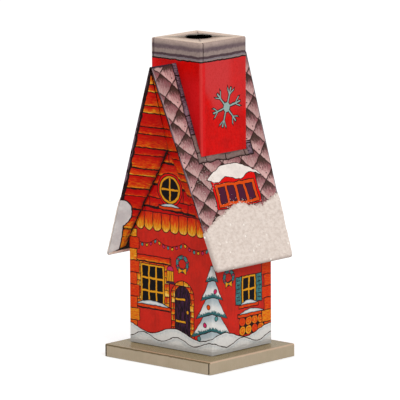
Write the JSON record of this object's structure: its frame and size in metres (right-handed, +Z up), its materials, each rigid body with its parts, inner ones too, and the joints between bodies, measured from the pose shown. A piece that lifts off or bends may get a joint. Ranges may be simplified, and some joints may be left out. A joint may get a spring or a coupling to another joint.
{
  "type": "incense smoker house",
  "caption": "Tinplate incense smoker house with steep roof and square chimney, lifting off a flat tray that carries a dish for an incense cone.",
  "frame": {"origin": "on the table, under the middle of the house", "axes": "+X along the gable front to the right, +Y towards the back, +Z up; the front gable faces -Y"},
  "size_m": [0.0666, 0.0626, 0.1437],
  "materials": {
    "tray_lacquer": "champagne beige lacquer on tinplate, glossy",
    "fibre_board": "pressed fibre board, matt",
    "bright_tin": "bare tinplate, satin",
    "wall_print": "red printed and lacquered tinplate, glossy",
    "roof_print": "printed slate pattern on lacquered tinplate, glossy",
    "chimney_print": "red printed and lacquered tinplate, glossy",
    "snow_paste": "granular snow paste with fine glitter, matt"
  },
  "bodies": {
    "base": {"base_tray": "tray_lacquer", "base_board": "fibre_board", "cone_dish": "bright_tin", "dish_rivet": "bright_tin", "locating_clip_front": "bright_tin", "locating_clip_back": "bright_tin", "locating_clip_left": "bright_tin", "locating_clip_right": "bright_tin"},
    "house": {"wall_wrap": "wall_print", "back_wall": "wall_print", "left_roof_sheet": "roof_print", "right_roof_sheet": "roof_print", "ridge_strip_front": "bright_tin", "ridge_strip_back": "bright_tin", "roof_bracket_left_front": "bright_tin", "roof_bracket_left_back": "bright_tin", "roof_bracket_right_front": "bright_tin", "roof_bracket_right_back": "bright_tin", "chimney_sheet": "chimney_print", "chimney_clip_left": "bright_tin", "chimney_clip_right": "bright_tin", "snow_right": "snow_paste", "snow_left": "snow_paste"}
  },
  "joints": [
    {"name": "house_lift", "type": "slide", "parent": "base", "child": "house", "axis": [0, 0, 1], "range_m": [0, 0.06]}
  ]
}
